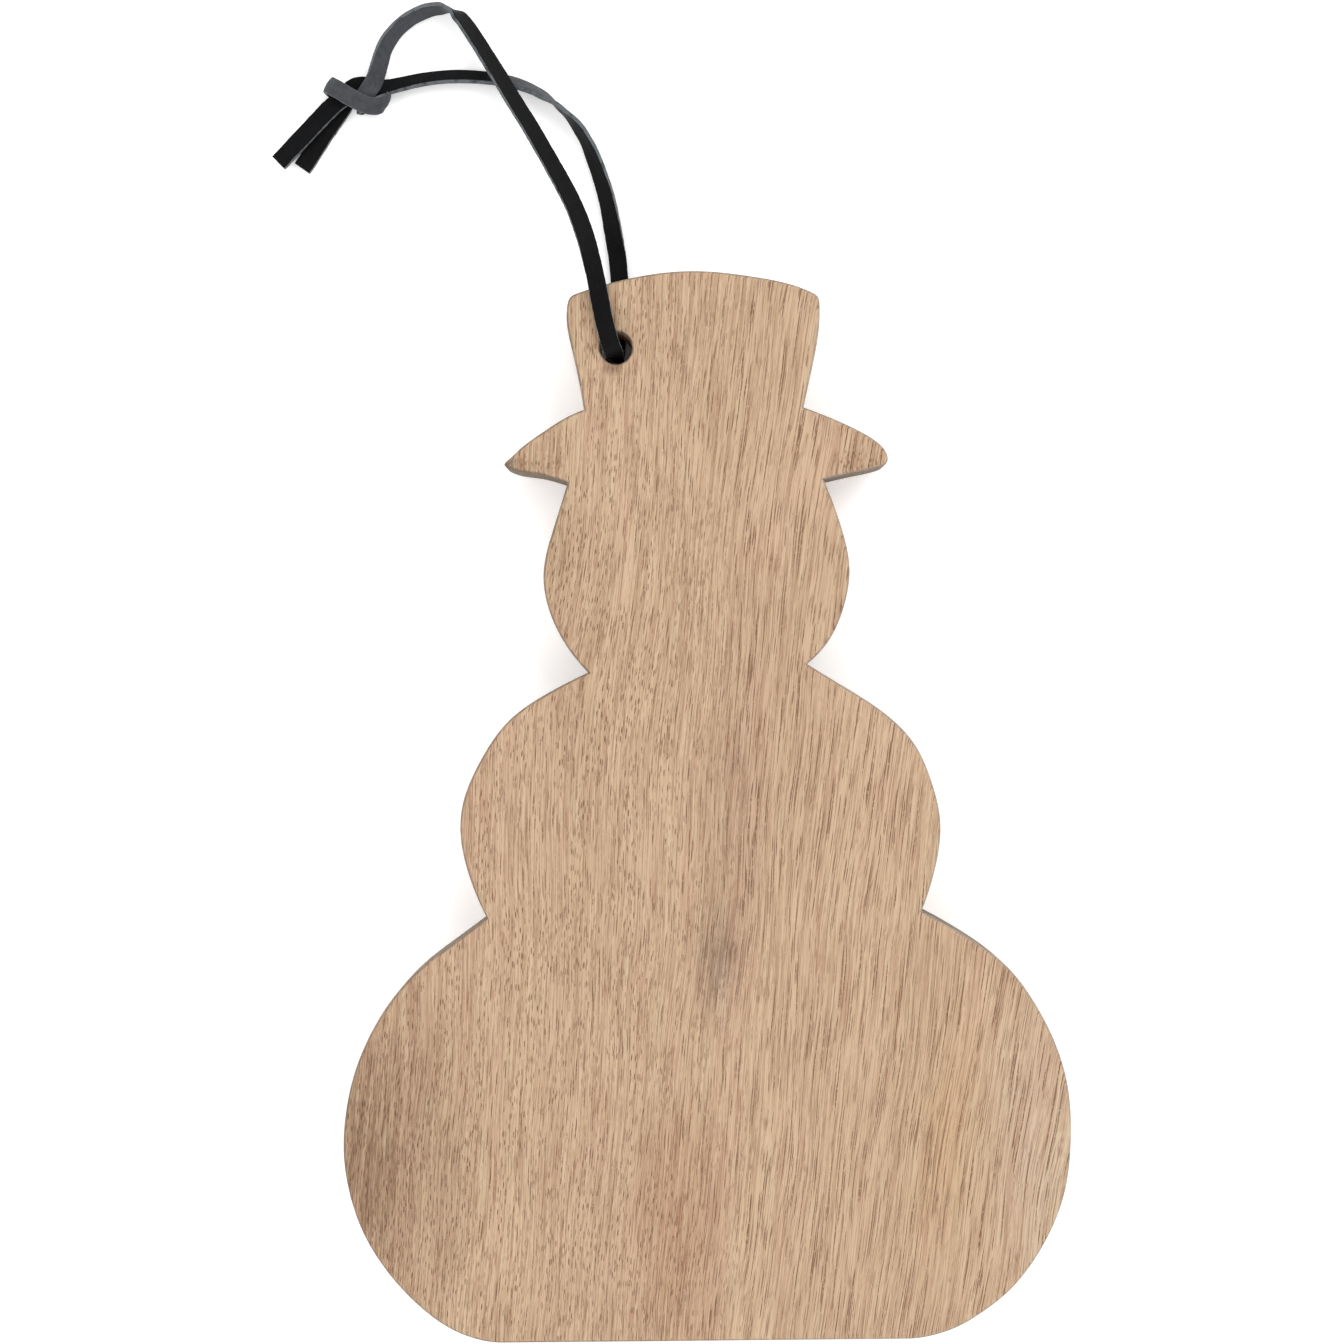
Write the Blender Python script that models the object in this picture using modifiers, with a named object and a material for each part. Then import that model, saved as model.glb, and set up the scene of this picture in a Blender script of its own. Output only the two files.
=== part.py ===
"""Snowman-shaped hanging board with a knotted flat leather lace, lying on its back on a table.

The table is z = 0, +Y runs from the base of the snowman to its hat, and +Z is up, out of the
front face. The lace goes through the hole in the hat and under it, so the hat end is propped up
by the lace's thickness and only the base edge of the board touches the table.
"""

import math

import bmesh
import bpy
import numpy as np
from mathutils import Vector

MM = 0.001

# Driving dimensions, in millimetres.
BOARD_THICKNESS = 15.0
EDGE_EASE = 1.2
EDGE_EASE_STEPS = 3
HOLE_RADIUS = 4.5
HOLE_CHAMFER = 0.4
HOLE_X, HOLE_Y = -23.4, 128.6
LACE_WIDTH = 5.0
LACE_THICKNESS = 1.4
TOUCH_GAP = 0.3
KNOT_LENGTH, KNOT_WIDTH, KNOT_HEIGHT = 17.0, 8.5, 5.6
KNOT_X, KNOT_Y = -98.9, 203.7
KNOT_TURN = math.radians(-25)
KNOT_EASE = 1.6
KNOT_EASE_STEPS = 3

# How finely the shapes are drawn, in millimetres and degrees.
CURVE_STEP = 0.25
OUTLINE_TURN, OUTLINE_RUN = math.radians(14), 14.0
LACE_TURN, LACE_RUN = math.radians(14), 2.5 * LACE_WIDTH
HOLE_SIDES = 48
CUTTER_OVERRUN = 2.0
SHARP_ANGLE = math.radians(35)
WELD_DISTANCE = 0.01

# The base edge is the straight line between these two ends.
BASE_Y = -150.0
BASE_LEFT, BASE_RIGHT = -58.0, 56.0

# The board is pivoted on the line where its flat back starts, next to the base edge.
PIVOT_Y = BASE_Y + EDGE_EASE
BACK_OVER_TABLE_AT_HOLE = LACE_THICKNESS + TOUCH_GAP
TILT = math.asin(BACK_OVER_TABLE_AT_HOLE / (HOLE_Y - PIVOT_Y))

# The outline, anticlockwise from the right end of the base. Each stretch is one smooth curve,
# and two stretches meet in a sharp corner.
RIGHT_LOWER_BALL = [
    (BASE_RIGHT, BASE_Y), (59.0, -149.8), (64.0, -148.8), (69.5, -146.9), (76.5, -142.9),
    (84.2, -136.9), (90.6, -129.4), (96.4, -119.5), (100.2, -109.0), (102.0, -95.0), (101.1, -78.4),
    (97.2, -65.7), (91.6, -55.0), (85.0, -46.2), (74.2, -37.7), (60.7, -29.9),
]
RIGHT_MIDDLE_BALL = [
    (60.7, -29.9), (64.6, -18.0), (66.2, -5.0), (63.9, 6.2), (59.2, 16.9), (48.7, 27.3),
    (37.5, 34.5), (29.2, 39.7),
]
RIGHT_HEAD = [(29.2, 39.7), (35.9, 47.0), (39.9, 56.3), (41.4, 66.0), (39.2, 77.9), (34.4, 91.2)]
RIGHT_BRIM = [
    (34.4, 91.2), (43.0, 93.1), (49.6, 94.5), (52.2, 95.9), (52.2, 98.2), (50.0, 101.2), (44.1, 105.0),
    (36.2, 108.7), (28.9, 111.6),
]
HAT = [
    (28.9, 111.6), (31.5, 123.0), (33.7, 140.4), (33.3, 142.4), (31.4, 143.8), (15.6, 148.2), (-1.5, 150.0),
    (-18.5, 148.3), (-33.6, 144.3), (-36.2, 142.9), (-37.0, 140.6), (-35.6, 127.5), (-32.6, 111.5),
]
LEFT_BRIM = [
    (-32.6, 111.5), (-38.3, 109.0), (-44.5, 105.1), (-50.6, 100.7), (-53.8, 97.8), (-55.1, 96.3),
    (-53.5, 95.1), (-46.6, 93.6), (-37.4, 91.0),
]
LEFT_HEAD = [(-37.4, 91.0), (-41.5, 78.2), (-44.4, 65.0), (-43.6, 58.0), (-39.5, 47.7), (-32.1, 37.9)]
LEFT_MIDDLE_BALL = [
    (-32.1, 37.9), (-44.1, 31.9), (-54.8, 24.3), (-62.6, 13.4), (-67.5, 2.0), (-68.4, -7.0),
    (-66.6, -17.0), (-61.2, -30.7),
]
LEFT_LOWER_BALL = [
    (-61.2, -30.7), (-71.1, -37.9), (-79.6, -44.3), (-87.4, -52.4), (-93.9, -62.4), (-98.7, -73.5),
    (-101.5, -86.0), (-102.1, -96.0), (-100.7, -107.0), (-96.6, -119.2), (-89.8, -130.2),
    (-80.6, -140.1), (-72.5, -146.0), (-66.0, -148.7), (-61.0, -149.8), (BASE_LEFT, BASE_Y),
]
OUTLINE = [
    RIGHT_LOWER_BALL, RIGHT_MIDDLE_BALL, RIGHT_HEAD, RIGHT_BRIM, HAT,
    LEFT_BRIM, LEFT_HEAD, LEFT_MIDDLE_BALL, LEFT_LOWER_BALL,
]

# Routes of the lace's centreline: x, y and height over the table.
FRONT_ROUTE = [
    (-24.0, 126.6, 9.35), (-24.0, 126.75, 13.0), (-24.1, 127.2, 15.6), (-24.5, 129.1, 17.4),
    (-25.4, 132.5, 17.8), (-27.4, 141.8, 17.85), (-29.4, 151.0, 17.8), (-32.1, 160.9, 16.9),
    (-35.9, 170.9, 14.4), (-41.0, 181.0, 11.2), (-46.6, 191.4, 8.4), (-52.6, 201.6, 6.4),
    (-55.3, 206.3, 5.8), (-58.3, 211.4, 5.3), (-61.4, 216.6, 4.7), (-64.5, 221.6, 4.2),
    (-67.4, 226.2, 3.6), (-71.5, 229.2, 3.1), (-78.2, 228.5, 2.8), (-84.4, 224.7, 2.5),
    (-88.8, 218.4, 2.2), (-91.0, 212.2, 2.2), (-92.8, 206.8, 2.6),
]
BACK_ROUTE = [
    (-24.0, 126.6, 9.05), (-24.0, 126.75, 5.4), (-24.0, 127.3, 2.9), (-23.9, 128.7, 1.35),
    (-23.7, 130.7, 0.82), (-23.4, 133.5, 0.73), (-22.6, 142.0, 0.71), (-22.7, 151.6, 0.71),
    (-24.1, 163.0, 1.4), (-26.0, 173.7, 1.8), (-28.9, 183.2, 2.2), (-32.8, 192.1, 2.6),
    (-38.6, 199.2, 2.6), (-45.3, 204.2, 2.5), (-52.3, 207.1, 2.4), (-61.2, 208.7, 2.3),
    (-70.7, 209.1, 2.2), (-80.3, 208.0, 2.2), (-88.4, 206.2, 2.2),
]
LEFT_TAIL_ROUTE = [(-104.8, 200.7, 2.4), (-109.4, 195.7, 2.4), (-114.5, 190.5, 2.2), (-120.1, 185.0, 1.5)]
RIGHT_TAIL_ROUTE = [(-102.3, 200.3, 0.7), (-105.7, 195.2, 0.7), (-109.5, 189.4, 0.7), (-113.5, 183.5, 0.7)]

WOOD_COLOR = (0.64, 0.45, 0.30, 1.0)
LEATHER_COLOR = (0.014, 0.014, 0.016, 1.0)


def smooth_curve(points):
    """Closely spaced points on the cubic spline through `points`, with steady curvature at its ends."""
    knots = np.array(points, float)
    chord = np.linalg.norm(np.diff(knots, axis=0), axis=1)
    along = np.concatenate([[0.0], np.cumsum(chord)])
    count = len(knots)
    rows = np.zeros((count, count))
    rows[0, :2] = rows[-1, -2:] = 1, -1
    wanted = np.zeros_like(knots)
    for i in range(1, count - 1):
        before, after = chord[i - 1], chord[i]
        rows[i, i - 1:i + 2] = before, 2 * (before + after), after
        wanted[i] = 6 * ((knots[i + 1] - knots[i]) / after - (knots[i] - knots[i - 1]) / before)
    bend = np.linalg.solve(rows, wanted)
    at = np.linspace(0.0, along[-1], max(2, round(along[-1] / CURVE_STEP) + 1))
    i = np.clip(np.searchsorted(along, at, side="right") - 1, 0, count - 2)
    h = chord[i][:, None]
    u = (at - along[i])[:, None]
    v = h - u
    curved = (bend[i] * (v ** 3 - h * h * v) + bend[i + 1] * (u ** 3 - h * h * u)) / (6 * h)
    return (knots[i] * v + knots[i + 1] * u) / h + curved


def thin_out(points, most_turn, most_length):
    """The end points, and between them a point each time the path has turned or run far enough."""
    kept = [0]
    turned = 0.0
    for i in range(1, len(points) - 1):
        incoming = Vector(points[i] - points[i - 1])
        outgoing = Vector(points[i + 1] - points[i])
        turned += incoming.angle(outgoing)
        run = np.linalg.norm(points[i + 1] - points[kept[-1]])
        if turned > most_turn or run > most_length:
            kept.append(i)
            turned = 0.0
    return points[kept + [len(points) - 1]]


def material(name, color, roughness):
    made = bpy.data.materials.new(name)
    made.use_nodes = True
    shader = made.node_tree.nodes["Principled BSDF"]
    shader.inputs["Base Color"].default_value = color
    shader.inputs["Roughness"].default_value = roughness
    shader.inputs["Metallic"].default_value = 0.0
    made.diffuse_color = color
    return made


def poly_curve(name, dimensions, points, closed):
    """A curve object with one POLY spline through `points`, given in millimetres."""
    curve = bpy.data.curves.new(name, "CURVE")
    curve.dimensions = dimensions
    spline = curve.splines.new("POLY")
    spline.points.add(len(points) - 1)
    for point, place in zip(spline.points, points):
        x, y, z = (*place, 0.0)[:3]
        point.co = (x * MM, y * MM, z * MM, 1.0)
    spline.use_cyclic_u = closed
    return bpy.data.objects.new(name, curve)


def mesh_from_curve(curve_object, collection):
    """A mesh object in place of the curve object, with its caps welded on."""
    collection.objects.link(curve_object)
    bpy.context.view_layer.update()
    evaluated = curve_object.evaluated_get(bpy.context.evaluated_depsgraph_get())
    mesh = bpy.data.meshes.new_from_object(evaluated)
    shape = bmesh.new()
    shape.from_mesh(mesh)
    bmesh.ops.remove_doubles(shape, verts=shape.verts, dist=WELD_DISTANCE * MM)
    shape.to_mesh(mesh)
    shape.free()
    made = bpy.data.objects.new(curve_object.name, mesh)
    made.matrix_world = curve_object.matrix_world
    collection.objects.link(made)
    bpy.data.objects.remove(curve_object)
    return made


def outline_points():
    """The closed outline, measured from the pivot line, without a point twice."""
    loop = []
    for stretch in OUTLINE:
        curve = thin_out(smooth_curve(stretch), OUTLINE_TURN, OUTLINE_RUN)
        loop.extend(curve[:-1])
    loop.append(OUTLINE[-1][-1])
    return [(x, y - PIVOT_Y) for x, y in loop]


def weigh_rims(mesh):
    """Give the two rims, and nothing else, a full bevel weight."""
    shape = bmesh.new()
    shape.from_mesh(mesh)
    weight = shape.edges.layers.float.new("bevel_weight_edge")
    same_height = 0.01 * MM
    for edge in shape.edges:
        low, high = edge.verts
        level = abs(low.co.z - high.co.z) < same_height
        upright = any(abs(face.normal.z) < 0.5 for face in edge.link_faces)
        if level and upright:
            edge[weight] = 1.0
    shape.to_mesh(mesh)
    shape.free()


def make_hole_cutter(cutters, parent):
    """A turned cutter for the lace hole, with a small chamfer at both mouths."""
    wide = HOLE_RADIUS + HOLE_CHAMFER + CUTTER_OVERRUN
    profile = [
        (0.0, BOARD_THICKNESS + CUTTER_OVERRUN),
        (wide, BOARD_THICKNESS + CUTTER_OVERRUN),
        (HOLE_RADIUS, BOARD_THICKNESS - HOLE_CHAMFER),
        (HOLE_RADIUS, HOLE_CHAMFER),
        (wide, -CUTTER_OVERRUN),
        (0.0, -CUTTER_OVERRUN),
    ]
    mesh = bpy.data.meshes.new("hole_cutter")
    edges = [(i, i + 1) for i in range(len(profile) - 1)]
    mesh.from_pydata([(r * MM, 0.0, z * MM) for r, z in profile], edges, [])
    cutter = bpy.data.objects.new("hole_cutter", mesh)
    screw = cutter.modifiers.new("turn", "SCREW")
    screw.steps = screw.render_steps = HOLE_SIDES
    screw.use_merge_vertices = True
    screw.merge_threshold = WELD_DISTANCE * MM
    cutter.parent = parent
    cutter.location = (HOLE_X * MM, (HOLE_Y - PIVOT_Y) * MM, 0.0)
    cutter.hide_render = True
    cutter.display_type = "WIRE"
    cutters.objects.link(cutter)
    return cutter


def make_board(parts, cutters, wood):
    """The plank: the snowman outline, both rims eased, and the lace hole drilled through the hat."""
    flat = poly_curve("board", "2D", outline_points(), True)
    flat.data.fill_mode = "BOTH"
    flat.data.extrude = BOARD_THICKNESS / 2 * MM
    flat.location.z = BOARD_THICKNESS / 2 * MM
    board = mesh_from_curve(flat, parts)
    board.data.transform(board.matrix_world)
    board.name = "board"
    board.location = (0.0, PIVOT_Y * MM, 0.0)
    board.rotation_euler = (TILT, 0.0, 0.0)
    weigh_rims(board.data)
    ease = board.modifiers.new("eased_rims", "BEVEL")
    ease.limit_method = "WEIGHT"
    ease.width = EDGE_EASE * MM
    ease.segments = EDGE_EASE_STEPS
    ease.use_clamp_overlap = False
    drill = board.modifiers.new("lace_hole", "BOOLEAN")
    drill.operation = "DIFFERENCE"
    drill.solver = "EXACT"
    drill.object = make_hole_cutter(cutters, board)
    board.data.shade_smooth()
    board.data.set_sharp_from_angle(angle=SHARP_ANGLE)
    board.data.materials.clear()
    board.data.materials.append(wood)
    return board


def make_strip(parts, name, route, leather, pivot):
    """A plain flat strip of lace along a route, lying flat wherever the route is level."""
    path = thin_out(smooth_curve(route), LACE_TURN, LACE_RUN)
    strip = poly_curve(name, "3D", path, False)
    strip.data.twist_mode = "Z_UP"
    strip.data.extrude = (LACE_WIDTH - LACE_THICKNESS) / 2 * MM
    strip.data.bevel_depth = LACE_THICKNESS / 2 * MM
    strip.data.bevel_resolution = 2
    strip.data.use_fill_caps = True
    for point in strip.data.splines[0].points:
        point.tilt = math.radians(90)
    strip.data.materials.append(leather)
    strip.parent = pivot
    strip.matrix_parent_inverse = pivot.matrix_world.inverted()
    parts.objects.link(strip)
    return strip


def make_knot(parts, leather, pivot):
    """A plain closed solid of the overhand knot's outer size."""
    mesh = bpy.data.meshes.new("lace_knot")
    shape = bmesh.new()
    bmesh.ops.create_cube(shape, size=1.0)
    size = Vector((KNOT_LENGTH, KNOT_WIDTH, KNOT_HEIGHT)) * MM
    bmesh.ops.scale(shape, verts=shape.verts, vec=size)
    shape.to_mesh(mesh)
    shape.free()
    knot = bpy.data.objects.new("lace_knot", mesh)
    ease = knot.modifiers.new("eased_edges", "BEVEL")
    ease.width = KNOT_EASE * MM
    ease.segments = KNOT_EASE_STEPS
    mesh.materials.append(leather)
    mesh.shade_smooth()
    mesh.set_sharp_from_angle(angle=SHARP_ANGLE)
    knot.parent = pivot
    knot.matrix_parent_inverse = pivot.matrix_world.inverted()
    knot.location = (KNOT_X * MM, KNOT_Y * MM, KNOT_HEIGHT / 2 * MM)
    knot.rotation_euler = (0.0, 0.0, KNOT_TURN)
    parts.objects.link(knot)
    return knot


def main():
    for old in list(bpy.data.objects):
        bpy.data.objects.remove(old)
    parts = bpy.data.collections.new("snowman_board")
    cutters = bpy.data.collections.new("cutters")
    for collection in (parts, cutters):
        bpy.context.scene.collection.children.link(collection)

    wood = material("oiled_hardwood", WOOD_COLOR, 0.6)
    leather = material("black_leather", LEATHER_COLOR, 0.45)

    make_board(parts, cutters, wood)

    pivot = bpy.data.objects.new("lace_swing_pivot", None)
    pivot.location = (HOLE_X * MM, HOLE_Y * MM, 0.0)
    parts.objects.link(pivot)
    bpy.context.view_layer.update()
    make_strip(parts, "lace_front", FRONT_ROUTE, leather, pivot)
    make_strip(parts, "lace_back", BACK_ROUTE, leather, pivot)
    make_strip(parts, "lace_tail_left", LEFT_TAIL_ROUTE, leather, pivot)
    make_strip(parts, "lace_tail_right", RIGHT_TAIL_ROUTE, leather, pivot)
    make_knot(parts, leather, pivot)


main()
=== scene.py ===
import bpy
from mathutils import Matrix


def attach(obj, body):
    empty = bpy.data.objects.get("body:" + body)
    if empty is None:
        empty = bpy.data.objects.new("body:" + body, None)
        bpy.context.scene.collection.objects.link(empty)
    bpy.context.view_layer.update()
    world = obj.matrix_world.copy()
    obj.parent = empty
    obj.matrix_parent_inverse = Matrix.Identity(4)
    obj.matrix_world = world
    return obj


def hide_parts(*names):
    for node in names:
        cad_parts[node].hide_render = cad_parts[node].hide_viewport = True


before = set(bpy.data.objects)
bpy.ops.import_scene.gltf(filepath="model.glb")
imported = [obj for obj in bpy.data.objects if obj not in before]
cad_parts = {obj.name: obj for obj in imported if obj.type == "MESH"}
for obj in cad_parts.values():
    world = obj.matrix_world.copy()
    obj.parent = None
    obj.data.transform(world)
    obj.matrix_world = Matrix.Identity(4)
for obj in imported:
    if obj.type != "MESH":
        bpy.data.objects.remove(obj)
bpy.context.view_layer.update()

import math

import bmesh
import bpy
import numpy as np
from mathutils import Vector, noise

MM = 0.001

# ---------------------------------------------------------------- camera

# Place in millimetres, straight above the board and looking down.
CAMERA_PLACE = (-8.64, 37.74, 571.7)
CAMERA_TURN = math.radians(-0.56)
CAMERA_LENS = 53.20
SENSOR_WIDTH = 36.0
NEAREST_SEEN = 0.01

camera_data = bpy.data.cameras.new("camera")
camera_data.lens = CAMERA_LENS
camera_data.sensor_width = SENSOR_WIDTH
camera_data.clip_start = NEAREST_SEEN
camera = bpy.data.objects.new("camera", camera_data)
camera.location = [MM * v for v in CAMERA_PLACE]
camera.rotation_euler = (0.0, 0.0, CAMERA_TURN)
bpy.context.scene.collection.objects.link(camera)
bpy.context.scene.camera = camera


# ---------------------------------------------------------------- curves

def spline(points, values, step):
    """Points about every `step` along the cubic spline through `points`.

    Its first and last stretches curve evenly. With `values`, one row for each point, it also
    gives those, eased from point to point.
    """
    knots = np.array(points, float)
    chord = np.linalg.norm(np.diff(knots, axis=0), axis=1)
    along = np.concatenate([[0.0], np.cumsum(chord)])
    count = len(knots)
    rows = np.zeros((count, count))
    rows[0, :2] = rows[-1, -2:] = 1, -1
    wanted = np.zeros_like(knots)
    for i in range(1, count - 1):
        before, after = chord[i - 1], chord[i]
        rows[i, i - 1:i + 2] = before, 2 * (before + after), after
        wanted[i] = 6 * ((knots[i + 1] - knots[i]) / after - (knots[i] - knots[i - 1]) / before)
    bend = np.linalg.solve(rows, wanted)
    at = np.linspace(0.0, along[-1], max(2, round(along[-1] / step) + 1))
    i = np.clip(np.searchsorted(along, at, side="right") - 1, 0, count - 2)
    h = chord[i][:, None]
    u = (at - along[i])[:, None]
    v = h - u
    curved = (bend[i] * (v ** 3 - h * h * v) + bend[i + 1] * (u ** 3 - h * h * u)) / (6 * h)
    line = (knots[i] * v + knots[i + 1] * u) / h + curved
    if values is None:
        return line
    values = np.array(values, float)
    share = u / h
    share = share * share * (3 - 2 * share)
    return line, values[i] * (1 - share) + values[i + 1] * share


# ---------------------------------------------------------------- the lace

LACE_WIDTH, LACE_THICKNESS = 5.15, 1.4
EDGE_EASE = 0.28
FACE_SHARES = (-0.74, -0.37, 0.0, 0.37, 0.74)
LACE_STEP = 0.5
LACE_CREASE = math.radians(50)
GRAIN, SUEDE, CUT_EDGE = 0, 1, 2

# How the strip cups as its edges curl, and how its cut edges wander, in millimetres. The scale
# of each wave is that of its noise. Cup and wander are measured on half of a 5 mm strip.
NOMINAL_HALF_WIDTH = 2.5
SLIGHT_CURL = 0.1
CUP_LEVEL, CURL_NARROWS = 0.35, 0.06
FINE_WAVE_SCALE, FINE_WAVE = 0.9, 0.05
BROAD_WAVE_SCALE, BROAD_WAVE = 0.25, 0.06
EDGE_WANDER = 1.6

# Each point of a strand: x, y and height of its centreline, how far its outer edge is rolled up
# in degrees, and how much painted shade darkens the suede side. Through the knot and in the cut
# tail it is x, y, height, the bearing and slope of the width, and how far the edges curl round.
FRONT_STRAND = [
    (-24.0, 126.6, 9.35, 0, 0), (-23.9, 126.75, 13.0, 4, 0), (-24.0, 127.2, 15.9, 6, 0),
    (-24.8, 129.1, 17.7, 5, 0), (-25.8, 132.5, 18.0, 4, 0), (-27.7, 141.8, 18.0, -1, 0),
    (-29.5, 151.0, 18.0, -5, 0), (-32.1, 160.9, 16.9, -15, 0), (-35.9, 170.9, 14.4, -19, 0),
    (-41.0, 181.0, 11.2, -24, 0), (-46.6, 191.4, 8.4, -28, 0), (-52.6, 201.6, 6.4, -31, 0),
    (-55.3, 206.3, 5.8, -32, 0), (-58.3, 211.4, 5.3, -34, 0), (-61.4, 216.6, 4.7, -36, 0),
    (-64.5, 221.6, 4.2, -38, 0), (-67.4, 225.6, 3.6, -44, 0), (-70.3, 227.8, 3.2, -78, 0),
    (-73.6, 228.3, 3.0, -104, 0), (-78.4, 227.3, 2.8, -112, 0), (-84.3, 223.8, 2.5, -118, 0),
    (-88.8, 218.4, 2.2, -128, 0), (-91.0, 212.2, 2.2, -142, 0), (-92.8, 206.8, 2.8, -160, 0),
]
FRONT_KNOT = [
    (-93.9, 204.9, 3.4, -30, 0, 0), (-95.2, 202.9, 3.4, -35, 0, 0),
    (-96.3, 201.6, 3.0, -55, 0, 0), (-96.8, 200.9, 2.4, -85, 0, 0),
    (-96.2, 201.1, 1.9, -105, 0, 0), (-94.5, 201.8, 1.7, -110, 0, 0),
    (-92.2, 202.3, 1.7, -114, 0, 0.3), (-90.0, 202.5, 2.1, -118, 0, 0.5),
    (-88.8, 201.9, 3.2, -121, -8, 0.7), (-89.4, 200.9, 4.4, -122, -16, 0.9),
    (-90.8, 200.1, 4.9, -119, -18, 1.0), (-92.6, 200.0, 5.0, -116, -12, 1.0),
    (-95.6, 201.0, 5.1, -116, -6, 0.9), (-98.7, 202.6, 5.1, -119, -4, 0.8),
    (-101.6, 204.4, 5.0, -121, -3, 0.7), (-103.8, 205.8, 4.5, -122, 0, 0.5),
    (-105.1, 206.7, 3.3, -122, 0, 0.4), (-105.2, 206.7, 1.8, -122, 0, 0.3),
    (-104.4, 206.1, 0.95, -126, 0, 0.1), (-102.4, 203.9, 0.75, -150, 0, 0),
    (-101.4, 201.8, 0.72, -176, 0, 0), (-102.2, 200.0, 0.72, -204, 0, 0),
    (-105.7, 195.2, 0.72, -213, 0, 0), (-109.5, 189.4, 0.72, -213, 0, 0),
    (-113.5, 183.5, 0.72, -213, 0, 0),
]
# Its last column turns to 1 near the knot: from there on, and through the left tail, the suede side
# is painted near black as shade.
BACK_STRAND = [
    (-24.0, 126.6, 9.05, 0, 0), (-24.0, 126.75, 5.4, 0, 0), (-24.0, 127.3, 2.9, 0, 0),
    (-23.9, 128.7, 1.35, 0, 0), (-23.7, 130.7, 0.82, 0, 0), (-23.4, 133.5, 0.73, 0, 0),
    (-22.6, 142.0, 0.72, 0, 0), (-22.7, 151.6, 0.72, 0, 0), (-23.2, 157.2, 0.82, 3, 0),
    (-24.1, 163.0, 1.6, 18, 0), (-26.0, 173.7, 2.15, 34, 0), (-28.9, 183.2, 2.4, 46, 0),
    (-32.8, 192.1, 2.6, 64, 0), (-38.6, 199.2, 2.6, 92, 0), (-45.3, 204.2, 2.5, 122, 0),
    (-52.3, 207.1, 2.4, 132, 0), (-61.2, 208.7, 2.3, 138, 1), (-70.7, 209.1, 2.2, 140, 1),
    (-80.3, 208.0, 2.2, 142, 1), (-87.2, 206.5, 2.1, 148, 1),
]
BACK_KNOT = [
    (-89.9, 206.1, 1.7, -84, 18, 0), (-92.2, 206.1, 1.5, -86, 6, 0),
    (-94.5, 206.6, 1.7, -88, -8, 0), (-96.7, 206.7, 2.0, -80, -16, 0),
    (-98.6, 205.9, 2.2, -66, -12, 0), (-100.0, 204.3, 2.3, -54, -4, 0),
    (-101.9, 202.8, 2.3, -46, 0, 0), (-104.8, 200.4, 2.4, -43, 2, 0),
    (-109.4, 195.7, 2.4, -43, 2, 0), (-114.5, 190.5, 2.2, -44, 3, 0),
    (-120.1, 185.0, 1.5, -44, 4, 0),
]


def strand_frames(strand, knot, step):
    """Centreline in millimetres, and along it the width direction, the painted shade on the suede
    and the curl.
    """
    points = [p[:3] for p in strand] + [p[:3] for p in knot]
    flat = np.array(points)[:, :2]
    widths = []
    for i, p in enumerate(strand):
        ahead, behind = min(i + 1, len(points) - 1), max(i - 1, 0)
        way = flat[ahead] - flat[behind]
        way /= np.linalg.norm(way)
        roll = math.radians(p[3])
        level = math.cos(roll)
        widths.append((way[1] * level, -way[0] * level, math.sin(roll), p[4], SLIGHT_CURL))
    # The knot and the tail keep the painted shade of the strand's last point.
    painted_shade = strand[-1][4]
    for p in knot:
        bearing, slope = math.radians(p[3]), math.radians(p[4])
        level = math.cos(slope)
        across = (math.cos(bearing) * level, math.sin(bearing) * level, math.sin(slope))
        widths.append((*across, painted_shade, p[5]))
    return spline(points, widths, step)


def lace_section():
    """Outline of the cut lace: along the width, along the thickness, and which side it is."""
    half, deep, ease = LACE_WIDTH / 2, LACE_THICKNESS / 2, EDGE_EASE
    face = [(half * share, deep, GRAIN) for share in FACE_SHARES]
    for degrees, kind in ((75, GRAIN), (45, GRAIN), (10, CUT_EDGE)):
        a = math.radians(degrees)
        face.append((half - ease + ease * math.cos(a), deep - ease + ease * math.sin(a), kind))
    right = [(w, -n, SUEDE if kind == GRAIN else kind) for w, n, kind in reversed(face)]
    left = [(-w, n, kind) for w, n, kind in reversed(face[len(FACE_SHARES):])]
    under_left = [(w, -n, SUEDE if kind == GRAIN else kind) for w, n, kind in reversed(left)]
    return face + right + under_left + left


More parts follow.
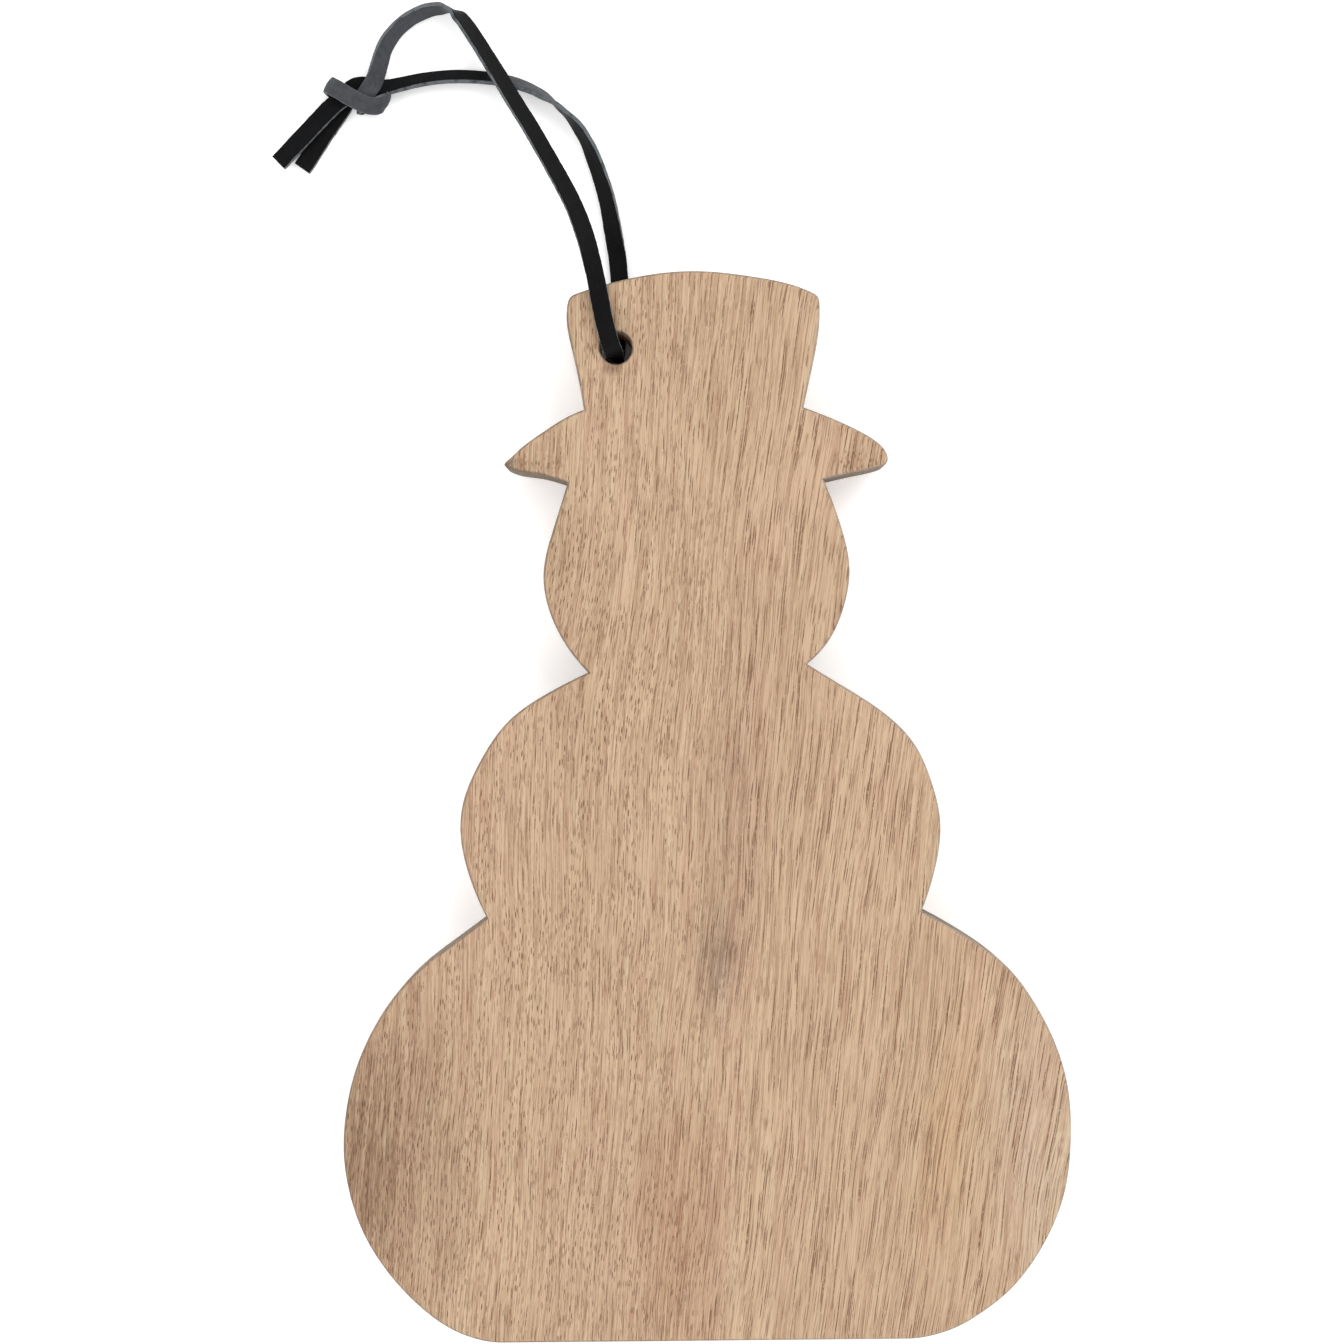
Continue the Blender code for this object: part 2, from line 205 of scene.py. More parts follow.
def make_strand(name, strand, knot, materials):
    """One end of the lace, swept from the hole to its cut tail, with the grain on one face."""
    line, across = strand_frames(strand, knot, LACE_STEP)
    # The fourth column is the painted shade on the suede side.
    width, painted_shade, curl = across[:, :3], across[:, 3], across[:, 4]
    tangent = np.gradient(line, axis=0)
    tangent /= np.linalg.norm(tangent, axis=1)[:, None]
    width = width - tangent * np.sum(width * tangent, axis=1)[:, None]
    width /= np.linalg.norm(width, axis=1)[:, None]
    normal = np.cross(width, tangent)
    ring = lace_section()
    count = len(ring)
    verts, faces, kinds, painted_shades = [], [], [], []
    for i in range(len(line)):
        for w, n, _ in ring:
            share = w / NOMINAL_HALF_WIDTH
            cup = curl[i] * (share ** 2 - CUP_LEVEL)
            narrow = 1 - CURL_NARROWS * curl[i]
            place = line[i] + width[i] * w * narrow + normal[i] * (n + cup)
            fine = noise.noise(Vector(place * FINE_WAVE_SCALE)) * FINE_WAVE
            broad = noise.noise(Vector(place * BROAD_WAVE_SCALE)) * BROAD_WAVE
            place = place + width[i] * share * (fine + broad) * EDGE_WANDER
            verts.append(Vector(place * MM))
            painted_shades.append(painted_shade[i])
    for i in range(len(line) - 1):
        for j in range(count):
            k = (j + 1) % count
            near, far = i * count, (i + 1) * count
            faces.append((near + j, near + k, far + k, far + j))
            kinds.append(max(ring[j][2], ring[k][2]))
    faces.append(tuple(range(count - 1, -1, -1)))
    kinds.append(CUT_EDGE)
    faces.append(tuple(range((len(line) - 1) * count, len(line) * count)))
    kinds.append(CUT_EDGE)
    mesh = bpy.data.meshes.new(name)
    mesh.from_pydata(verts, [], faces)
    for made in materials:
        mesh.materials.append(made)
    mesh.polygons.foreach_set("material_index", kinds)
    # The painted shade on the suede side goes to its material as a point attribute.
    layer = mesh.attributes.new("painted_shade", "FLOAT", "POINT")
    layer.data.foreach_set("value", painted_shades)
    shape = bmesh.new()
    shape.from_mesh(mesh)
    bmesh.ops.recalc_face_normals(shape, faces=shape.faces)
    shape.to_mesh(mesh)
    shape.free()
    mesh.shade_smooth()
    mesh.set_sharp_from_angle(angle=LACE_CREASE)
    made = bpy.data.objects.new(name, mesh)
    bpy.context.scene.collection.objects.link(made)
    return made, line


# ---------------------------------------------------------------- material tools

# How far one step of `shift` moves a flat pattern, in its own features across and along. Every
# pattern of the wood has a shift of its own, so that no two are alike.
SHIFT_ACROSS, SHIFT_ALONG = 7.3, 3.1
FAINTEST_DASH = 0.25


class Nodes:
    """Short ways to wire up a material."""

    def __init__(self, name):
        self.material = bpy.data.materials.new(name)
        self.material.use_nodes = True
        self.tree = self.material.node_tree
        self.shader = self.tree.nodes["Principled BSDF"]
        self.place = None

    def link(self, value, socket):
        if isinstance(value, bpy.types.NodeSocket):
            self.tree.links.new(value, socket)
        elif value is not None:
            socket.default_value = value

    def math(self, kind, a, b=None, c=None):
        node = self.tree.nodes.new("ShaderNodeMath")
        node.operation = kind
        for value, socket in zip((a, b, c), node.inputs):
            self.link(value, socket)
        return node.outputs[0]

    def add(self, a, b):
        return self.math("ADD", a, b)

    def sub(self, a, b):
        return self.math("SUBTRACT", a, b)

    def mul(self, a, b):
        return self.math("MULTIPLY", a, b)

    def most(self, a, b):
        return self.math("MAXIMUM", a, b)

    def step(self, value, low, high, to_low=0.0, to_high=1.0):
        """Eases from `to_low` where the value is `low` to `to_high` where it is `high`."""
        node = self.tree.nodes.new("ShaderNodeMapRange")
        node.interpolation_type = "SMOOTHSTEP"
        node.clamp = True
        for item, socket in zip((value, low, high, to_low, to_high), node.inputs):
            self.link(item, socket)
        return node.outputs[0]

    def mm(self):
        """Object coordinates in millimetres."""
        if self.place is None:
            where = self.tree.nodes.new("ShaderNodeTexCoord")
            scale = self.tree.nodes.new("ShaderNodeVectorMath")
            scale.operation = "SCALE"
            scale.inputs[3].default_value = 1 / MM
            self.tree.links.new(where.outputs["Object"], scale.inputs[0])
            self.place = scale.outputs[0]
        return self.place

    def split(self, vector):
        node = self.tree.nodes.new("ShaderNodeSeparateXYZ")
        self.link(vector, node.inputs[0])
        return node.outputs[0], node.outputs[1], node.outputs[2]

    def join(self, x, y, z):
        node = self.tree.nodes.new("ShaderNodeCombineXYZ")
        for value, socket in zip((x, y, z), node.inputs):
            self.link(value, socket)
        return node.outputs[0]

    def noise(self, vector, scale, detail, rough):
        node = self.tree.nodes.new("ShaderNodeTexNoise")
        node.noise_dimensions = "3D"
        self.link(vector, node.inputs["Vector"])
        node.inputs["Scale"].default_value = scale
        node.inputs["Detail"].default_value = detail
        node.inputs["Roughness"].default_value = rough
        return node.outputs["Fac"]

    def cells(self, vector, scale):
        node = self.tree.nodes.new("ShaderNodeTexVoronoi")
        node.voronoi_dimensions = "3D"
        self.link(vector, node.inputs["Vector"])
        node.inputs["Scale"].default_value = scale
        return node.outputs["Distance"]

    def drawn(self, u, v, size, shift):
        """Coordinates for a flat pattern whose features are `size` millimetres across and along."""
        return self.join(self.math("MULTIPLY_ADD", u, 1 / size[0], SHIFT_ACROSS * shift),
                         self.math("MULTIPLY_ADD", v, 1 / size[1], SHIFT_ALONG * shift), 0.0)

    def streak(self, u, v, size, shift, detail=2.0, rough=0.5):
        """Soft streaks `size` millimetres across and along, between 0 and 1."""
        node = self.tree.nodes.new("ShaderNodeTexNoise")
        node.noise_dimensions = "2D"
        self.link(self.drawn(u, v, size, shift), node.inputs["Vector"])
        node.inputs["Scale"].default_value = 1.0
        node.inputs["Detail"].default_value = detail
        node.inputs["Roughness"].default_value = rough
        return node.outputs["Fac"]

    def dashes(self, u, v, size, shift, wide, core):
        """Scattered dashes, each of its own darkness: 1 in the middle of one, 0 between them."""
        node = self.tree.nodes.new("ShaderNodeTexVoronoi")
        node.voronoi_dimensions = "2D"
        self.link(self.drawn(u, v, size, shift), node.inputs["Vector"])
        node.inputs["Scale"].default_value = 1.0
        own = self.step(self.split(node.outputs["Color"])[0], 0.0, 1.0, FAINTEST_DASH, 1.0)
        return self.mul(self.step(node.outputs["Distance"], wide, core), own)

    def mix(self, share, a, b, kind="MIX"):
        node = self.tree.nodes.new("ShaderNodeMix")
        node.data_type = "RGBA"
        node.blend_type = kind
        self.link(share, node.inputs[0])
        for value, socket in ((a, node.inputs[6]), (b, node.inputs[7])):
            self.link((*value, 1.0) if isinstance(value, tuple) else value, socket)
        return node.outputs[2]

    def spot(self, x, y, centre, size, turn=0.0):
        """1 at the centre of a leaning oval and 0 outside it, in millimetres."""
        cos, sin = math.cos(math.radians(turn)), math.sin(math.radians(turn))
        dx, dy = self.sub(x, centre[0]), self.sub(y, centre[1])
        u = self.mul(self.add(self.mul(dx, cos), self.mul(dy, sin)), 1 / size[0])
        v = self.mul(self.sub(self.mul(dy, cos), self.mul(dx, sin)), 1 / size[1])
        away = self.math("SQRT", self.add(self.mul(u, u), self.mul(v, v)))
        return self.step(away, 1.0, 0.0)

    def bump(self, height, strength, distance):
        node = self.tree.nodes.new("ShaderNodeBump")
        node.inputs["Strength"].default_value = strength
        node.inputs["Distance"].default_value = distance * MM
        self.link(height, node.inputs["Height"])
        self.tree.links.new(node.outputs[0], self.shader.inputs["Normal"])

    def set(self, name, value):
        self.link((*value, 1.0) if isinstance(value, tuple) else value, self.shader.inputs[name])


LEATHER_BLACK, LEATHER_WORN = (0.0022, 0.0022, 0.0024), (0.0058, 0.0058, 0.0064)
LEATHER_SCUFF = (0.04, 0.04, 0.042)
SUEDE_DARK, SUEDE_LIGHT = (0.018, 0.020, 0.022), (0.088, 0.093, 0.101)
# The second colour is painted shade: suede near black where it is turned from the key light.
SUEDE_PATCH, SUEDE_PAINTED_SHADE = (0.040, 0.042, 0.046), (0.0022, 0.0022, 0.0025)
CUT_DARK, CUT_LIGHT = (0.055, 0.060, 0.064), (0.15, 0.165, 0.175)
CUT_PATCH = (0.035, 0.036, 0.038)
LEATHER_SHINE, CUT_SHINE, CUT_ROUGHNESS = 0.06, 0.2, 0.82


def leather_grain():
    n = Nodes("leather_grain_side")
    at = n.mm()
    fine = n.cells(at, 2.6)
    coarse = n.noise(at, 0.35, 3.0, 0.6)
    wrinkle = n.noise(at, 1.1, 4.0, 0.65)
    scuff = n.step(n.noise(at, 0.6, 5.0, 0.75), 0.56, 0.78)
    base = n.mix(coarse, LEATHER_BLACK, LEATHER_WORN)
    base = n.mix(n.mul(scuff, 0.22), base, LEATHER_SCUFF)
    n.set("Base Color", base)
    dull = n.add(n.mul(wrinkle, 0.6), n.mul(scuff, 0.5))
    n.set("Roughness", n.step(dull, 0.1, 0.9, 0.40, 0.66))
    n.set("Specular IOR Level", LEATHER_SHINE)
    n.bump(n.add(n.mul(fine, 0.7), n.mul(wrinkle, 0.8)), 0.7, 0.14)
    return n.material


def leather_suede():
    n = Nodes("leather_suede_side")
    at = n.mm()
    # This attribute is painted shade: where it is 1 the suede is painted near black and loses its
    # sheen.
    painted_shade = n.tree.nodes.new("ShaderNodeAttribute")
    painted_shade.attribute_name = "painted_shade"
    nap = n.noise(at, 3.2, 5.0, 0.7)
    patch = n.noise(at, 0.45, 3.0, 0.6)
    base = n.mix(nap, SUEDE_DARK, SUEDE_LIGHT)
    base = n.mix(n.step(patch, 0.35, 0.75), base, SUEDE_PATCH)
    # Painted shade on the suede.
    base = n.mix(n.mul(painted_shade.outputs["Fac"], 0.94), base, SUEDE_PAINTED_SHADE)
    n.set("Base Color", base)
    n.set("Roughness", n.step(patch, 0.2, 0.8, 0.72, 0.9))
    n.set("Specular IOR Level", LEATHER_SHINE)
    n.set("Sheen Weight", n.step(painted_shade.outputs["Fac"], 0.0, 1.0, 0.12, 0.0))
    n.set("Sheen Roughness", 0.5)
    n.bump(n.add(nap, n.mul(patch, 0.4)), 0.6, 0.18)
    return n.material


def leather_cut_edge():
    n = Nodes("leather_cut_edge")
    at = n.mm()
    fibre = n.noise(at, 4.5, 5.0, 0.75)
    patch = n.noise(at, 0.5, 2.0, 0.5)
    base = n.mix(fibre, CUT_DARK, CUT_LIGHT)
    base = n.mix(n.step(patch, 0.45, 0.75), base, CUT_PATCH)
    n.set("Base Color", base)
    n.set("Roughness", CUT_ROUGHNESS)
    n.set("Specular IOR Level", CUT_SHINE)
    n.bump(fibre, 0.6, 0.15)
    return n.material


leathers = [leather_grain(), leather_suede(), leather_cut_edge()]
lace_front, front_line = make_strand("lace_front_strand", FRONT_STRAND, FRONT_KNOT, leathers)
lace_back, back_line = make_strand("lace_back_strand", BACK_STRAND, BACK_KNOT, leathers)
for strand, line, nodes in (
        (lace_front, front_line, ("lace_front", "lace_knot", "lace_tail_right")),
        (lace_back, back_line, ("lace_back", "lace_tail_left"))):
    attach(strand, "lace")
    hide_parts(*nodes)

# ---------------------------------------------------------------- the board

THICKNESS = 15.0
HOLE = (-23.4, 128.6)
HOLE_RADIUS = 4.5
HOLE_SIDES = 72

# The board rests on its base edge and on the lace under the hat, which tilts it a little.
PIVOT_Y = -148.8
BACK_OVER_TABLE_AT_HOLE = 1.7
TILT = math.asin(BACK_OVER_TABLE_AT_HOLE / (HOLE[1] - PIVOT_Y))

# The eased rim: its radius, how unevenly it is worn, and the steps round it from wall to face.
EASE = 1.15
WEAR, WEAR_SCALE, TOP_WEAR_PLACE, BACK_WEAR_PLACE = 0.35, 0.05, 3.0, 8.0
RIM_SHARES = (0.0, 0.25, 0.5, 0.75, 1.0)
WALL_HEIGHTS = (3.5, 6.0, 9.0, 11.5)
SHARPEST_MITRE = 0.45
BOARD_CREASE = math.radians(40)

# The drilled hole from back to front, as radius and height. The noise roughens its mouths and,
# far less, its wall.
HOLE_PROFILE = (
    (5.15, 0.0), (4.8, 0.15), (4.58, 0.5), (4.5, 1.2), (4.5, 7.5),
    (4.5, 13.8), (4.58, 14.5), (4.8, 14.85), (5.15, 15.0),
)
MOUTH_WEAR, MOUTH_WEAR_TURN, MOUTH_WEAR_RISE = 0.9, 1.7, 0.2
BORE_WEAR, BORE_WEAR_TURN = 0.05, 4

RIGHT_LOWER_BALL = [
    (56.0, -150.0), (59.0, -149.8), (64.0, -148.8), (69.5, -146.9), (76.5, -142.9),
    (84.2, -136.9), (90.6, -129.4), (96.4, -119.5), (100.2, -109.0), (102.0, -95.0),
    (101.1, -78.4), (97.2, -65.7), (91.6, -55.0), (85.0, -46.2), (74.2, -37.7), (60.7, -29.9),
]
RIGHT_MIDDLE_BALL = [
    (60.7, -29.9), (64.6, -18.0), (66.2, -5.0), (63.9, 6.2), (59.2, 16.9), (48.7, 27.3),
    (37.5, 34.5), (29.2, 39.7),
]
RIGHT_HEAD = [(29.2, 39.7), (35.9, 47.0), (39.9, 56.3), (41.4, 66.0), (39.2, 77.9), (34.4, 91.2)]
RIGHT_BRIM = [
    (34.4, 91.2), (43.0, 93.1), (49.6, 94.5), (52.2, 95.9), (52.2, 98.2), (50.0, 101.2),
    (44.1, 105.0), (36.2, 108.7), (28.9, 111.6),
]
HAT = [
    (28.9, 111.6), (31.5, 123.0), (33.7, 140.4), (33.3, 142.4), (31.4, 143.8), (15.6, 148.2),
    (-1.5, 150.0), (-18.5, 148.3), (-33.6, 144.3), (-36.2, 142.9), (-37.0, 140.6),
    (-35.6, 127.5), (-32.6, 111.5),
]
LEFT_BRIM = [
    (-32.6, 111.5), (-38.3, 109.0), (-44.5, 105.1), (-50.6, 100.7), (-53.8, 97.8), (-55.1, 96.3),
    (-53.5, 95.1), (-46.6, 93.6), (-37.4, 91.0),
]
LEFT_HEAD = [
    (-37.4, 91.0), (-41.5, 78.2), (-44.4, 65.0), (-43.6, 58.0), (-39.5, 47.7), (-32.1, 37.9),
]
LEFT_MIDDLE_BALL = [
    (-32.1, 37.9), (-44.1, 31.9), (-54.8, 24.3), (-62.6, 13.4), (-67.5, 2.0), (-68.4, -7.0),
    (-66.6, -17.0), (-61.2, -30.7),
]
LEFT_LOWER_BALL = [
    (-61.2, -30.7), (-71.1, -37.9), (-79.6, -44.3), (-87.4, -52.4), (-93.9, -62.4), (-98.7, -73.5),
    (-101.5, -86.0), (-102.1, -96.0), (-100.7, -107.0), (-96.6, -119.2), (-89.8, -130.2),
    (-80.6, -140.1), (-72.5, -146.0), (-66.0, -148.7), (-61.0, -149.8), (-58.0, -150.0),
]
BASE = [(-58.0, -150.0), (56.0, -150.0)]
OUTLINE = [
    RIGHT_LOWER_BALL, RIGHT_MIDDLE_BALL, RIGHT_HEAD, RIGHT_BRIM, HAT,
    LEFT_BRIM, LEFT_HEAD, LEFT_MIDDLE_BALL, LEFT_LOWER_BALL,
]
OUTLINE_STEP = 0.8


def outline_loop():
    """The dense closed outline, anticlockwise, and the inward direction that an inset follows."""
    loop = []
    for stretch in OUTLINE:
        loop.extend(spline(stretch, None, OUTLINE_STEP)[:-1])
    start, end = np.array(BASE)
    steps = round(np.linalg.norm(end - start) / OUTLINE_STEP)
    loop.extend(start + (end - start) * i / steps for i in range(steps))
    loop = np.array(loop)
    before = loop - np.roll(loop, 1, axis=0)
    after = np.roll(loop, -1, axis=0) - loop
    inward = []
    for a, b in zip(before, after):
        a, b = a / np.linalg.norm(a), b / np.linalg.norm(b)
        left_a, left_b = np.array((-a[1], a[0])), np.array((-b[1], b[0]))
        middle = left_a + left_b
        middle /= np.linalg.norm(middle)
        inward.append(middle / max(SHARPEST_MITRE, float(middle @ left_a)))
    return loop, np.array(inward)


def to_table(x, y, z):
    """From the board's own plane to the table's, both in millimetres."""
    along = y - PIVOT_Y
    cos, sin = math.cos(TILT), math.sin(TILT)
    return x, PIVOT_Y + along * cos - z * sin, along * sin + z * cos


def make_board(wood):
    """The plank: unevenly eased rims, the drilled hole and its worn mouths."""
    loop, inward = outline_loop()
    shape = bmesh.new()

    def ring_of(points, z):
        return [shape.verts.new([MM * v for v in to_table(p[0], p[1], z)]) for p in points]

    def rim(share, top):
        """One ring of an eased rim, from the wall (0) to the face (1), and its depth."""
        turn = share * math.pi / 2
        wear_place = TOP_WEAR_PLACE if top else BACK_WEAR_PLACE
        points = []
        for p, way in zip(loop, inward):
            at = Vector((p[0] * WEAR_SCALE, p[1] * WEAR_SCALE, wear_place))
            worn = 1.0 + WEAR * noise.noise(at)
            inset = EASE * worn * (1 - math.cos(turn))
            points.append(p + way * inset)
        return points, EASE * (1 - math.sin(turn))

    rings = []
    for share in reversed(RIM_SHARES):
        points, depth = rim(share, False)
        rings.append(ring_of(points, depth))
    for height in WALL_HEIGHTS:
        rings.append(ring_of(loop, height))
    for share in RIM_SHARES:
        points, depth = rim(share, True)
        rings.append(ring_of(points, THICKNESS - depth))
    count = len(loop)
    for low, high in zip(rings, rings[1:]):
        for i in range(count):
            k = (i + 1) % count
            shape.faces.new((low[i], low[k], high[k], high[i]))

    hole_rings = []
    for radius, height in HOLE_PROFILE:
        points = []
        mouth = max(0.0, radius - HOLE_RADIUS)
        for i in range(HOLE_SIDES):
            a = 2 * math.pi * i / HOLE_SIDES
            cos, sin = math.cos(a), math.sin(a)
            chip = Vector((cos * MOUTH_WEAR_TURN, sin * MOUTH_WEAR_TURN, height * MOUTH_WEAR_RISE))
            ripple = Vector((cos * BORE_WEAR_TURN, sin * BORE_WEAR_TURN, height))
            rough = 1 + MOUTH_WEAR * noise.noise(chip)
            r = HOLE_RADIUS + mouth * rough + BORE_WEAR * noise.noise(ripple)
            points.append((HOLE[0] + r * cos, HOLE[1] + r * sin))
        hole_rings.append(ring_of(points, height))
    for low, high in zip(hole_rings, hole_rings[1:]):
        for i in range(HOLE_SIDES):
            k = (i + 1) % HOLE_SIDES
            shape.faces.new((low[k], low[i], high[i], high[k]))

    for outer, inner in ((rings[0], hole_rings[0]), (rings[-1], hole_rings[-1])):
        edges = []
        for verts in (outer, inner):
            for i in range(len(verts)):
                edges.append(shape.edges.get((verts[i], verts[(i + 1) % len(verts)])))
        bmesh.ops.triangle_fill(shape, use_beauty=True, edges=edges)
    bmesh.ops.recalc_face_normals(shape, faces=shape.faces)
    mesh = bpy.data.meshes.new("board_plank")
    shape.to_mesh(mesh)
    shape.free()
    mesh.materials.append(wood)
    mesh.shade_smooth()
    mesh.set_sharp_from_angle(angle=BOARD_CREASE)
    made = bpy.data.objects.new("board_plank", mesh)
    bpy.context.scene.collection.objects.link(made)
    return made


# Colours of the wood.
WOOD_YELLOW, WOOD_PINK = (0.478, 0.346, 0.222), (0.484, 0.330, 0.218)
WOOD_TAN, WOOD_LIGHT = (0.426, 0.302, 0.190), (0.550, 0.412, 0.288)
WOOD_STREAK, WOOD_RED = (0.290, 0.160, 0.092), (0.34, 0.195, 0.118)
WOOD_FLECK, WOOD_PORE = (0.20, 0.105, 0.056), (0.135, 0.062, 0.028)
END_DARK, END_LIGHT = (0.060, 0.048, 0.032), (0.200, 0.155, 0.105)
END_PIT, TORN_FIBRES = (0.045, 0.030, 0.018), (0.110, 0.055, 0.028)
# Painted light and shade on the eased rim: dark at the left, paler at the right, darkest at the
# left brim's tip.
RIM_SHADE_LEFT, RIM_SHADE_RIGHT = (0.150, 0.112, 0.076), (0.250, 0.205, 0.160)
RIM_SHADE_TIP = (0.105, 0.085, 0.058)
WOOD_SHINE = 0.3

# Places on the face: centre, half width and half length in millimetres, and lean in degrees.
LOWER_LEFT = ((-92.0, -98.0), (30.0, 62.0), -8.0)
LEFT_BRIM_END = ((-46.0, 95.5), (11.0, 4.2), 4.0)
RIGHT_BRIM_END = ((44.0, 96.0), (10.0, 4.0), -10.0)
# Where the painted shade at the left brim's tip lies.
LEFT_BRIM_TIP = ((-55.5, 96.5), (6.5, 4.5))
BELOW_HOLE = ((HOLE[0] - 1.1, HOLE[1] - 6.0), (3.9, 2.7), 8.0)
AT_HOLE = (HOLE, (10.0, 10.0))

# Tinted zones: the same, then the tint and its strength. In order they are the grey heart streak
# and its core, the dark lower left and its edge, the reddish zone at the base, the yellowish and
# the pale zones at the right, and the grey left of the head.
PLACED_ZONES = [
    ((8.0, -4.0), (15.0, 76.0), -5.0, (0.77, 0.72, 0.72), 0.9),
    ((3.0, -44.0), (10.0, 24.0), -4.0, (0.66, 0.68, 0.71), 0.95),
    ((-100.0, -98.0), (44.0, 70.0), -8.0, (0.46, 0.41, 0.35), 0.95),
    ((-72.0, -112.0), (7.0, 46.0), -6.0, (0.80, 0.78, 0.76), 0.8),
    ((-9.0, -118.0), (19.0, 54.0), -4.0, (0.82, 0.66, 0.62), 0.95),
    ((66.0, -96.0), (14.0, 56.0), -8.0, (0.96, 0.92, 0.82), 0.9),
    ((92.0, -98.0), (19.0, 66.0), 2.0, (1.05, 1.13, 1.24), 1.0),
    ((-42.0, 74.0), (12.0, 50.0), 0.0, (0.88, 0.87, 0.84), 0.9),
]


def hardwood():
    n = Nodes("open_pored_hardwood")
    x, y, z = n.split(n.mm())
    facing = n.tree.nodes.new("ShaderNodeNewGeometry")
    _, ny, nz = n.split(facing.outputs["Normal"])

    # The grain leans a little at the left and about twice as much at the right.
    lean = n.step(x, -90.0, 90.0, 0.07, 0.15)
    bow = n.mul(n.sub(n.streak(x, y, (60.0, 130.0), 1), 0.5), 9.0)
    straight = n.sub(x, n.mul(lean, n.add(y, 20.0)))
    u = n.add(n.add(straight, bow), n.mul(z, 0.9))
    u = n.math("MULTIPLY_ADD", n.sub(n.streak(u, y, (2.2, 9.0), 2, 1.0), 0.5), 0.30, u)
    right = n.step(x, -35.0, 40.0)

    # Broad bands, streaks and fine fibres along the grain.
    bands = n.streak(u, y, (10.0, 190.0), 3)
    clouds = n.streak(u, y, (26.0, 60.0), 4)
    streaks = n.streak(u, y, (1.1, 52.0), 5, 2.0, 0.6)
    fibres = n.streak(u, y, (0.30, 24.0), 6, 2.0, 0.6)
    colour = n.mix(n.step(bands, 0.32, 0.68), WOOD_YELLOW, WOOD_PINK)
    colour = n.mix(n.step(clouds, 0.35, 0.7, 0.0, 0.45), colour, WOOD_TAN)
    colour = n.mix(n.step(streaks, 0.42, 0.72, 0.0, 0.50), colour, WOOD_STREAK)
    colour = n.mix(n.step(fibres, 0.48, 0.70, 0.0, 0.55), colour, WOOD_STREAK)
    colour = n.mix(n.step(fibres, 0.46, 0.25, 0.0, 0.50), colour, WOOD_LIGHT)

    # Open pores: long fine lines, mostly at the right, and shorter dashes, mostly at the left.
    crowd = n.streak(u, y, (5.0, 38.0), 7, 2.0, 0.6)
    crowded = n.step(crowd, 0.32, 0.62, 0.3, 1.0)
    long_pores = n.dashes(u, y, (0.66, 46.0), 8, 0.25, 0.17)
    long_pores = n.mul(long_pores, n.step(right, 0.0, 1.0, 0.50, 1.0))
    pores = n.mul(n.dashes(u, y, (0.66, 15.0), 9, 0.25, 0.17), crowded)
    short_pores = n.dashes(u, y, (0.62, 4.0), 10, 0.29, 0.19)
    short_pores = n.mul(short_pores, n.step(right, 1.0, 0.0, 0.25, 1.0))
    short_pores = n.mul(short_pores, n.step(crowd, 0.62, 0.40, 0.25, 1.0))
    broken = n.step(n.streak(u, y, (0.7, 1.5), 21, 2.0, 0.6), 0.34, 0.46, 0.40, 1.0)
    open_pores = n.mul(n.most(n.most(long_pores, pores), short_pores), broken)
    fleck_zone = n.step(n.streak(u, y, (2.3, 15.0), 11, 2.0, 0.7), 0.58, 0.75)
    flecks = n.mul(fleck_zone, n.step(n.streak(u, y, (0.45, 3.0), 12, 2.0), 0.42, 0.62))
    colour = n.mix(n.mul(fleck_zone, 0.28), colour, WOOD_RED)
    colour = n.mix(n.mul(flecks, 0.55), colour, WOOD_FLECK)
    colour = n.mix(n.mul(open_pores, 0.95), colour, WOOD_PORE)

    # The tinted zones, and dark dots in the lower left.
    ragged = n.streak(u, y, (1.6, 24.0), 13, 2.0, 0.7)
    rough_edge = n.step(ragged, 0.3, 0.7, 0.42, 1.0)
    for centre, size, turn, tint, most in PLACED_ZONES:
        zone = n.mul(n.mul(n.spot(x, y, centre, size, turn), rough_edge), most)
        colour = n.mix(zone, colour, tint, "MULTIPLY")
    dots = n.mul(n.dashes(u, y, (0.8, 5.0), 14, 0.30, 0.12), n.spot(x, y, *LOWER_LEFT))
    colour = n.mix(n.mul(dots, 0.85), colour, WOOD_PORE)

    # End grain on the walls that face along the plank, darker and pitted.
    level = n.math("ABSOLUTE", nz)
    wall = n.step(level, 0.8, 0.35)
    ends = n.mul(wall, n.step(n.math("ABSOLUTE", ny), 0.45, 0.9))
    ends = n.mul(ends, n.step(n.spot(x, y, *AT_HOLE), 0.4, 0.1))
    layers = n.streak(x, z, (1.3, 3.0), 15, 3.0, 0.75)
    pits = n.dashes(x, z, (0.9, 0.9), 16, 0.36, 0.16)
    end_colour = n.mix(layers, END_DARK, END_LIGHT)
    end_colour = n.mix(n.mul(pits, 0.85), end_colour, END_PIT)
    colour = n.mix(n.mul(wall, 0.3), colour, WOOD_STREAK)
    colour = n.mix(ends, colour, end_colour)

    # Dotted dark pores where the brims' end grain comes up to the face.
    brim_zone = n.most(n.spot(x, y, *LEFT_BRIM_END), n.spot(x, y, *RIGHT_BRIM_END))
    brim_dots = n.mul(n.dashes(u, y, (0.8, 1.8), 17, 0.42, 0.20), n.step(brim_zone, 0.0, 0.4))
    colour = n.mix(n.mul(brim_zone, 0.18), colour, WOOD_STREAK)
    colour = n.mix(n.mul(brim_dots, 0.65), colour, WOOD_PORE)
